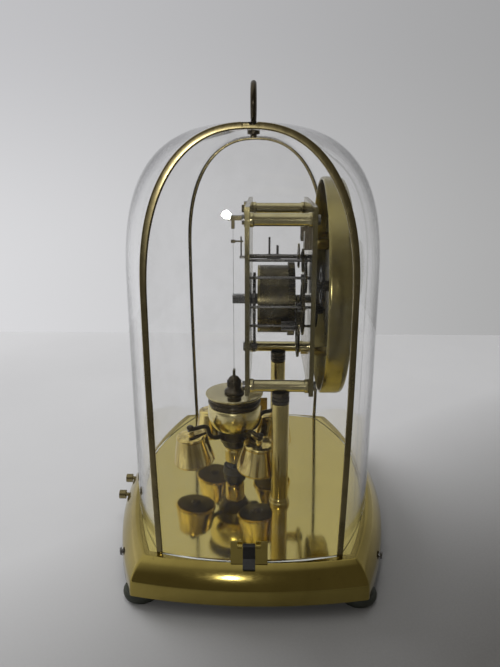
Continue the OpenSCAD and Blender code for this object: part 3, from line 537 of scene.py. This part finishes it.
COLUMN_PROFILE = soften([(0.0, 22.7), (5.2, 22.7), (5.2, 24.3), (4.7, 24.8), (4.7, 25.9), (4.2, 26.6),
                         (4.2, 77.3), (0.0, 77.3)], 0.35, 3)
COLLAR_PROFILE = soften([(0.0, 77.3), (3.5, 77.3), (3.5, 77.9), (4.35, 78.1), (4.35, 79.0), (3.75, 79.2),
                         (3.75, 79.6), (4.35, 79.8), (4.35, 80.7), (3.75, 80.9), (3.75, 81.3),
                         (4.3, 81.5), (4.3, 83.3), (0.0, 83.3)], 0.15, 2)
pair = [at(sx * COLUMN[0], COLUMN[1], 0) for sx in (-1, 1)]
columns = new_piece("columns_turned", *merge([moved(turned(COLUMN_PROFILE), m) for m in pair]),
                    "stand", "brass", [COLUMN_BRASS])
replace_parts(columns, "support_columns")
collars = new_piece("collars_turned", *merge([moved(turned(COLLAR_PROFILE), m) for m in pair]),
                    "stand", "dark_bronze", [DARK])
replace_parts(collars, "column_collars")

PILLAR_LEN = PLATES_Y[0] - PLATES_Y[1]
PILLAR_PROFILE = soften([(0.0, 0.0), (3.4, 0.0), (3.4, 1.7), (2.9, 2.0), (2.9, PILLAR_LEN - 2.0),
                         (3.4, PILLAR_LEN - 1.7), (3.4, PILLAR_LEN), (0.0, PILLAR_LEN)], 0.25, 3)
for row, z in (("bottom", PILLAR_Z[0]), ("top", PILLAR_Z[1])):
    rods = [moved(turned(PILLAR_PROFILE, 64), at(sx * PILLAR_X, PLATES_Y[0], z) @ FORWARD)
            for sx in (-1, 1)]
    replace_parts(new_piece(row + "_pillars_turned", *merge(rods), "stand", "brass", [PILLAR]),
                row + "_pillars")

# ---------------------------------------------------------------- dial and bezel

BEZEL_PROFILE = soften([(53.1, 0.0), (54.1, 0.0), (54.5, 1.0), (54.5, 8.6), (54.0, 10.4), (52.9, 11.0),
                        (51.1, 10.7), (49.5, 9.5), (49.7, 9.1), (53.1, 8.95)], 0.5, 4, closed=True)
bezel = new_piece("bezel_spun", *moved(turned(BEZEL_PROFILE, 192, True),
                                       at(DIAL[0], BEZEL_Y, DIAL[1]) @ FORWARD),
                  "stand", "brass", [BEZEL])
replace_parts(bezel, "bezel")

DIAL_PROFILE = soften([(3.4, 0.0), (53.0, 0.0), (53.0, 0.8), (42.0, 0.8), (41.8, 0.75), (35.5, 0.75),
                       (35.3, 0.8), (3.4, 0.8)], 0.06, 2, closed=True)
dial_place = at(DIAL[0], DIAL_BACK_Y, DIAL[1]) @ FORWARD
dial = new_piece("dial_disc", *moved(turned(DIAL_PROFILE, 160, True), dial_place), "stand",
                 "dial_silver", [DIAL_BACK, DIAL_FACE],
                 pick=lambda c: 1 if c.y < DIAL_FACE_Y + 0.2 else 0)
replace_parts(dial, "dial")


INK_HALF = 0.04


def numeral(text, size):
    """One number as a flat raised shape about its own centre, in millimetres."""
    curve = bpy.data.curves.new("numeral", "FONT")
    curve.body = text
    curve.size = size
    curve.align_x = "CENTER"
    curve.align_y = "CENTER"
    curve.extrude = INK_HALF
    curve.resolution_u = 6
    holder = bpy.data.objects.new("numeral", curve)
    bpy.context.scene.collection.objects.link(holder)
    mesh = holder.evaluated_get(bpy.context.evaluated_depsgraph_get()).to_mesh()
    verts = [tuple(v.co) for v in mesh.vertices]
    faces = [tuple(p.vertices) for p in mesh.polygons]
    holder.evaluated_get(bpy.context.evaluated_depsgraph_get()).to_mesh_clear()
    bpy.data.objects.remove(holder)
    bpy.data.curves.remove(curve)
    xs, ys = [v[0] for v in verts], [v[1] for v in verts]
    mid = ((min(xs) + max(xs)) / 2, (min(ys) + max(ys)) / 2)
    return [(v[0] - mid[0], v[1] - mid[1], v[2]) for v in verts], faces


FIGURE_R, FIGURE_SIZE = 38.4, 10.5
MARK_START, TRACK_W = 45.8, 0.18
marks = []
for hour in range(1, 13):
    turn = math.radians(90 - 30 * hour)
    marks.append(moved(numeral(str(hour), FIGURE_SIZE),
                       at(FIGURE_R * math.cos(turn), FIGURE_R * math.sin(turn), 0.0)))
for minute in range(60):
    end, half_wide = (48.6, 0.55) if minute % 5 == 0 else (47.8, 0.2)
    bar = block((MARK_START, -half_wide, -INK_HALF), (end, half_wide, INK_HALF), 0.02, 1)
    marks.append(moved(bar, spin_z(6 * minute)))
for radius in (45.2, 48.9):
    wide = radius + TRACK_W
    marks.append(turned([(radius, -INK_HALF), (wide, -INK_HALF), (wide, INK_HALF), (radius, INK_HALF)],
                        120, True))
face_place = at(DIAL[0], DIAL_FACE_Y - INK_HALF, DIAL[1]) @ FORWARD
new_piece("dial_figures", *moved(merge(marks), face_place), "stand", "dial_silver", [INK])

# ---------------------------------------------------------------- pendulum

HOOK = soften([(0.0, 70.2), (5.4, 70.2), (5.4, 71.3), (4.1, 72.4), (3.5, 73.2), (3.4, 77.2), (2.6, 78.6),
               (1.6, 79.4), (0.0, 79.6)], 0.35, 3)
DISC = soften([(2.4, 69.0), (15.2, 69.0), (15.5, 69.4), (15.5, 69.9), (15.2, 70.2), (2.4, 70.2)], 0.2, 3,
              closed=True)
BOWL = soften([(2.4, 68.8), (14.2, 68.8), (14.6, 68.2), (14.3, 67.5), (13.2, 67.2), (13.2, 66.3),
               (14.1, 66.0), (14.3, 65.2), (14.0, 64.6), (13.0, 64.3), (13.0, 63.5), (14.0, 63.1),
               (14.4, 61.4), (14.45, 59.0), (14.2, 56.6), (13.5, 54.2), (12.3, 52.0), (10.8, 50.1),
               (2.4, 50.1)], 0.4, 3, closed=True)
DARK_GROOVES_Z = 63.4
NECK = soften([(0.0, 50.0), (9.6, 50.0), (9.5, 48.4), (9.2, 47.4), (9.2, 44.6), (8.5, 43.8), (8.0, 42.6),
               (6.9, 40.8), (6.1, 39.0), (0.0, 39.0)], 0.35, 3)
HUB = soften([(0.0, 39.0), (5.4, 39.0), (5.4, 38.0), (4.7, 37.3), (5.3, 36.6), (5.3, 30.2), (4.6, 29.2),
              (2.1, 28.8), (1.0, 28.6), (1.0, 16.2), (0.0, 15.3)], 0.3, 3)


def pendulum_turning(name, profile, slot, materials, closed=False, extra=(), pick=None):
    """A turned piece of the pendulum, about the line the torsion spring hangs on."""
    parts = [turned(profile, 112, closed), *extra]
    return new_piece(name, *merge(parts), "pendulum", slot, materials, 30,
                     place=at(0, PEND_Y * MM, 0), pick=pick)


ridge = block((3.2, -0.28, 73.6), (3.85, 0.28, 77.0), 0.12, 2)
knurl = [moved(ridge, spin_z(20 * k)) for k in range(18)]
EYE_R, EYE_Z = 2.1, 78.6
eye = [(EYE_R * math.cos(a), 0.0, EYE_Z + EYE_R * math.sin(a))
       for a in (2 * math.pi * k / 28 for k in range(28))]
hook = pendulum_turning("hook_knurled", HOOK, "dark_bronze", [DARK],
                        extra=[*knurl, tube(eye, 0.55, 12, True)])
clip = new_piece("spring_clip", *block((-2.0, PEND_Y - 0.7, 77.4), (2.0, PEND_Y + 0.7, 83.0), 0.2),
                 "pendulum", "brass", [TRAIN])
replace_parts(hook, "pendulum_hook")
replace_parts(clip, "pendulum_hook")
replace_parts(pendulum_turning("disc_turned", DISC, "brass", [PILLAR], True), "rating_disc")
bowl = pendulum_turning("bowl_turned", BOWL, "brass", [BOWL_BRASS, DARK], True,
                        pick=lambda c: 1 if c.z > DARK_GROOVES_Z else 0)
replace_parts(bowl, "pendulum_bowl")
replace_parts(pendulum_turning("neck_turned", NECK, "dark_bronze", [DARK]), "pendulum_neck")
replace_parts(pendulum_turning("hub_turned", HUB, "brass", [BRIGHT]), "pendulum_neck")

WEIGHT_TURN, WEIGHT_LEAN, WEIGHT_AT, WEIGHT_Z = 32.0, 6.0, 25.2, 43.2
HALF_BELL = 7.6
BELL = soften([(0.0, HALF_BELL + 2.05), (1.6, HALF_BELL + 2.05), (1.6, HALF_BELL + 0.5),
               (6.2, HALF_BELL + 0.4), (7.85, HALF_BELL), (8.2, HALF_BELL - 0.7),
               (8.1, HALF_BELL - 1.6), (10.8, 1.8 - HALF_BELL), (11.0, 1.0 - HALF_BELL),
               (10.4, -HALF_BELL), (9.0, -HALF_BELL - 0.5), (2.6, -HALF_BELL - 0.9),
               (2.1, -HALF_BELL - 2.0), (0.0, -HALF_BELL - 2.6)], 0.45, 4)
ARM_PATH = smooth_curve([(0, 8.7, 46.0), (0, 10.8, 46.0), (0, 13.5, 46.8), (0, 15.2, 48.8),
                         (0, 15.8, 51.0), (0, 16.7, 53.2), (0, 19.0, 54.2), (0, 23.0, 54.2),
                         (0, 27.9, 54.2)], 6)
ARM_NUT = soften([(0.0, 0.0), (1.9, 0.0), (1.9, 0.9), (1.3, 1.5), (0.0, 1.6)], 0.25)
lean_in = Matrix.Rotation(math.radians(-WEIGHT_LEAN), 4, "X")
arms = []
for k in range(4):
    arm_turn = at(0, PEND_Y, 0) @ spin_z(WEIGHT_TURN + 90 * k)
    stand_up = arm_turn @ at(0, WEIGHT_AT, WEIGHT_Z) @ lean_in
    in_metres = Matrix.Translation(stand_up.translation * MM) @ stand_up.to_3x3().to_4x4()
    # The flat underside of each solid bell takes the dark bronze as painted shade, standing in for the
    # shadowed hollow of a real bell.
    bell = new_piece(f"bell_{k + 1}", *turned(BELL, 112), "pendulum", "brass",
                     [BELL_BRASS, DARK], 28, in_metres, lambda c: 1 if c.z < -HALF_BELL - 0.1 else 0)
    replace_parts(bell, "bell_weights")
    arms.append(moved(tube(ARM_PATH, 1.1, 18), arm_turn))
    arms.append(moved(turned(ARM_NUT, 32), arm_turn @ at(0, 26.6, 54.9)))
bent_arms = new_piece("weight_arms_bent", *merge(arms), "pendulum", "dark_bronze", [DARK])
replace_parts(bent_arms, "weight_arms")

# ---------------------------------------------------------------- glass case

HALF_CASE = 75.5
STRIP_HALF = 1.3
STRIP_W = 2.6
CASE_H = 182.0
CROWN_RISE = 2.4
ARCH_HALF, ARCH_BOW = 43, 18.8
ARCH_DROP, DROP_BOW = 65, 11.5
ARCH_POWER, POWER_BOW = 2.35, 0.55
FOOT_IN = 1.8
GLASS_T = 1.6
SIDE_BOW = 5.7


def arch_point(s, half, drop, power, top, foot_in):
    """Half depth and height of the arch: s runs 0 to 1 over the curve, 1 to 2 down to the foot."""
    if s <= 1:
        return half * s, top - drop * (1 - max(1 - s ** power, 0.0) ** (1 / power))
    f = s - 1
    return half - foot_in * f * f, (top - drop) * (1 - f)


def arch_steps(fine):
    """Shares along half the arch, from just off the crown to the foot."""
    angles = [0.75 * 90 / fine + 88.8 * k / fine for k in range(fine)]
    return ([math.sin(math.radians(a)) ** (2 / ARCH_POWER) for a in angles] + [1.0]
            + [1 + k / 10 for k in range(1, 11)])


def half_arch(u, inset, fine=30, more=()):
    """Points from the crown to the foot at u, which is -1 to 1 from one end of the case to the other."""
    bow = 1 - u * u
    return [arch_point(s, ARCH_HALF + ARCH_BOW * bow - inset, ARCH_DROP + DROP_BOW * bow,
                       ARCH_POWER + POWER_BOW * bow, CASE_H + CROWN_RISE * bow - inset,
                       FOOT_IN * (1 - 0.8 * bow))
            for s in sorted([*arch_steps(fine), *more])]


def whole_arch(u, inset, fine=30, more=()):
    """The arch at u from foot to foot, over the crown."""
    half = half_arch(u, inset, fine, more)
    crown = (0.0, CASE_H + CROWN_RISE * (1 - u * u) - inset)
    return [(-y, z) for y, z in half[::-1]] + [crown] + half


def wrap_grid(inset, columns=36):
    """Rows of arch points along the case, for one skin of the bent glass."""
    rows = []
    for i in range(columns + 1):
        u = lerp(-1, 1, i / columns)
        rows.append([(u * (HALF_CASE - STRIP_HALF), y + CASE_Y, z + FLOOR_Z)
                     for y, z in whole_arch(u, inset)])
    return rows


def foot_of_glass(c):
    """The ground edge that stands on the floor plate takes the second material."""
    return 1 if c.z < FLOOR_Z + 0.05 else 0


wrap = new_piece("glass_wrap", *sheet_between(wrap_grid(0.0), wrap_grid(GLASS_T)), "case", "glass",
                 [GLASS, GROUND], 40, pick=foot_of_glass)
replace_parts(wrap, "case_glass")


def pane_grid(side, inset, across=24):
    """Rows of points over one skin of a bowed end pane."""
    half = half_arch(1, STRIP_W + 0.1)
    rows = []
    for y, z in half[::-1] + [(0.02, half[0][1] + 0.01)]:
        lift = 1 - (z / CASE_H) ** 2
        row = []
        for j in range(-across, across + 1):
            t = j / across
            x = side * (HALF_CASE + 0.8 - inset + SIDE_BOW * (1 - t * t) * lift)
            row.append((x, y * t + CASE_Y, z + FLOOR_Z))
        rows.append(row)
    return rows


for side, word in ((-1, "left"), (1, "right")):
    pane = new_piece(f"glass_{word}", *sheet_between(pane_grid(side, 0.0), pane_grid(side, GLASS_T)),
                     "case", "glass", [GLASS, GROUND], 40, pick=foot_of_glass)
    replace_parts(pane, "side_panes")


NOTCH_DEEP, NOTCH_HALF, NOTCH_SLOPE = 1.15, 3.0, 0.9


def strip_mesh(side):
    """Half-round moulding that follows the arch, notched at the crown."""
    section = [(-STRIP_HALF, 0.0), (-STRIP_HALF, -STRIP_W), (STRIP_HALF, -STRIP_W), (STRIP_HALF, 0.0)]
    section = soften(section, 0.55, 4, closed=True)
    near_crown = [y / ARCH_HALF for y in (0.9, 1.9, 2.2, 2.5, 2.8, 3.1)]
    outer, inner = whole_arch(1, 0.0, 44, near_crown), whole_arch(1, STRIP_W, 44, near_crown)
    rows = []
    for (ya, za), (yb, zb) in zip(outer, inner):
        notch = NOTCH_DEEP * min(max((NOTCH_HALF - abs(ya)) / NOTCH_SLOPE, 0.0), 1.0)
        share = [(sx, max(-sd, notch) / STRIP_W) for sx, sd in section]
        rows.append([(side * HALF_CASE + sx, lerp(ya, yb, f) + CASE_Y, lerp(za, zb, f) + FLOOR_Z)
                     for sx, f in share])
    cols = len(section)
    verts = [p for row in rows for p in row]
    faces = []
    for r in range(len(rows) - 1):
        for c in range(cols):
            m = (c + 1) % cols
            faces.append((r * cols + c, r * cols + m, (r + 1) * cols + m, (r + 1) * cols + c))
    faces.append(tuple(range(cols)))
    faces.append(tuple(range((len(rows) - 1) * cols, len(rows) * cols))[::-1])
    return verts, faces


strips = new_piece("side_strips", *merge([strip_mesh(-1), strip_mesh(1)]), "case", "dark_bronze",
                   [STRIP])
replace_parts(strips, "case_strips")

RING_Z, RING_R = FLOOR_Z + 194.7, 8.3
CROWN = FLOOR_Z + CASE_H + CROWN_RISE
ring_path = [(RING_R * math.cos(a), CASE_Y, RING_Z + RING_R * math.sin(a))
             for a in (2 * math.pi * k / 72 for k in range(72))]
stem = turned(soften([(0.0, CROWN - 6.0), (1.6, CROWN - 6.0), (1.6, CROWN - 4.6), (3.0, CROWN - 4.3),
                      (3.0, CROWN - 1.8), (1.6, CROWN - 1.7), (1.6, CROWN - 0.1), (3.3, CROWN),
                      (3.2, CROWN + 0.7), (1.9, CROWN + 1.1), (1.7, CROWN + 1.6), (0.0, CROWN + 1.6)],
                     0.2, 3), 48)
ring_parts = [tube(ring_path, 1.4, 20, True), moved(stem, at(0, CASE_Y, 0))]
ring = new_piece("carrying_ring_bent", *merge(ring_parts), "case", "dark_bronze", [DARK])
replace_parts(ring, "carrying_ring")

# ---------------------------------------------------------------- light, floor and camera


TABLE_X, TABLE_Y = (-2500, 359), (-2000, 2000)
# The cloth's painted shade: the direction it deepens toward and the span it fades in over.
PAINTED_SHADE_AIM, PAINTED_SHADE_FROM, PAINTED_SHADE_TO = (0.80, 0.60, 0.0), -0.145, 0.03
CAMERA_AT = (-0.3125, -0.0085, 0.1926)
CAMERA_PITCH, CAMERA_YAW = 16.0, 1.47
FOCAL_PX, PHOTO_PX, SENSOR = 618.0, 667.0, 36.0


def make_floor():
    """A pale cloth with painted shade, darker toward the camera and to its right, ending at the wall."""
    steps = 60
    verts, faces = [], []
    for i in range(steps + 1):
        for j in range(steps + 1):
            verts.append((lerp(*TABLE_X, i / steps), lerp(*TABLE_Y, j / steps), 0))
    for i in range(steps):
        for j in range(steps):
            a = i * (steps + 1) + j
            faces.append((a, a + steps + 1, a + steps + 2, a + 1))
    mesh = bpy.data.meshes.new("table")
    mesh.from_pydata([[c * MM for c in v] for v in verts], [], faces)
    net = Net("table_cloth")
    cloud = net.noise(6.0, 4.0, 0.5)
    pale = net.mix(net.ramp(cloud, 0.3, 0.7), (0.54, 0.54, 0.55), (0.575, 0.575, 0.585))
    across = net.node("ShaderNodeVectorMath", operation="DOT_PRODUCT")
    across.inputs[1].default_value = PAINTED_SHADE_AIM
    net.link(net.coord.outputs["Object"], across.inputs[0])
    painted_shade = net.ramp(across.outputs["Value"], PAINTED_SHADE_FROM, PAINTED_SHADE_TO)
    # Painted shade: the cloth turns dark grey toward the camera and to its right.
    net.link(net.mix(painted_shade, (0.145, 0.141, 0.136), pale), net.shader.inputs["Base Color"])
    fine = net.noise(900.0, 3.0, 0.6)
    net.link(net.ramp(fine, 0.3, 0.7, 0.6, 0.85), net.shader.inputs["Roughness"])
    net.bump(fine, 0.05, 0.0002)
    mesh.materials.append(net.mat)
    obj = bpy.data.objects.new("table", mesh)
    bpy.context.scene.collection.objects.link(obj)


def make_world():
    """A soft room: pale walls that brighten to the left, a pale ceiling, dim behind the camera."""
    world = bpy.data.worlds.new("soft_room")
    world.use_nodes = True
    tree = world.node_tree
    background = tree.nodes["Background"]
    coord = tree.nodes.new("ShaderNodeTexCoord")

    def toward(direction, low, high):
        """0 to 1 as the view turns toward a direction."""
        dot = tree.nodes.new("ShaderNodeVectorMath")
        dot.operation = "DOT_PRODUCT"
        dot.inputs[1].default_value = Vector(direction).normalized()
        tree.links.new(coord.outputs["Generated"], dot.inputs[0])
        span = tree.nodes.new("ShaderNodeMapRange")
        span.interpolation_type = "SMOOTHSTEP"
        span.inputs["From Min"].default_value = low
        span.inputs["From Max"].default_value = high
        tree.links.new(dot.outputs["Value"], span.inputs["Value"])
        return span.outputs["Result"]

    def blend(fac, low, high):
        mix = tree.nodes.new("ShaderNodeMix")
        mix.data_type = "RGBA"
        tree.links.new(fac, mix.inputs["Factor"])
        for socket, value in ((mix.inputs["A"], low), (mix.inputs["B"], high)):
            if isinstance(value, tuple):
                socket.default_value = (*value, 1.0)
            else:
                tree.links.new(value, socket)
        return mix.outputs["Result"]

    low = blend(toward((0.0, 1.0, 0.0), -0.8, 0.8), (0.33, 0.33, 0.325), (0.76, 0.76, 0.78))
    high = blend(toward((0.0, 1.0, 0.0), -0.8, 0.8), (0.30, 0.30, 0.30), (0.58, 0.58, 0.60))
    wall = blend(toward((0.0, 0.0, 1.0), -0.16, 0.22), low, high)
    room = blend(toward((1.0, 0.25, 0.05), -0.35, 0.30), (0.105, 0.096, 0.078), wall)
    overhead = blend(toward((0.05, 0.40, 1.0), 0.50, 0.97), room, (0.62, 0.62, 0.60))
    tree.links.new(overhead, background.inputs["Color"])
    background.inputs["Strength"].default_value = 1.0
    bpy.context.scene.world = world


def lamp(name, place, aim, size, power, colour=(1, 1, 1), mirrored=True):
    """A soft lamp. One that isn't mirrored lights things without showing in brass or glass."""
    light = bpy.data.lights.new(name, "AREA")
    light.shape = "ELLIPSE"
    light.size, light.size_y = size
    light.energy = power
    light.color = colour
    obj = bpy.data.objects.new(name, light)
    obj.location = place
    obj.rotation_euler = (Vector(aim) - Vector(place)).to_track_quat("-Z", "Y").to_euler()
    obj.visible_glossy = mirrored
    obj.visible_transmission = mirrored
    bpy.context.scene.collection.objects.link(obj)


def make_camera():
    """The camera that was fitted to the photo."""
    pitch, yaw = math.radians(CAMERA_PITCH), math.radians(CAMERA_YAW)
    ahead = Vector((math.cos(pitch) * math.cos(yaw), math.cos(pitch) * math.sin(yaw), -math.sin(pitch)))
    data = bpy.data.cameras.new("camera")
    data.sensor_width = SENSOR
    data.lens = FOCAL_PX / PHOTO_PX * SENSOR
    data.clip_start = 0.01
    obj = bpy.data.objects.new("camera", data)
    obj.location = CAMERA_AT
    obj.rotation_euler = ahead.to_track_quat("-Z", "Y").to_euler()
    bpy.context.scene.collection.objects.link(obj)
    bpy.context.scene.camera = obj


make_floor()
make_world()
lamp("window", (0.85, 1.15, 0.75), (0.1, 0, 0.05), (0.9, 0.9), 15.0, (1.0, 1.0, 1.02), False)
lamp("ceiling", (0.45, 0.15, 1.5), (0.15, 0, 0.1), (1.1, 1.1), 7.0, (1, 1, 1), False)
lamp("small_front", (-0.34, 0.036, 0.174), (-0.05, 0, 0.11), (0.013, 0.008), 0.11)
make_camera()
bpy.context.scene.view_settings.view_transform = "Standard"
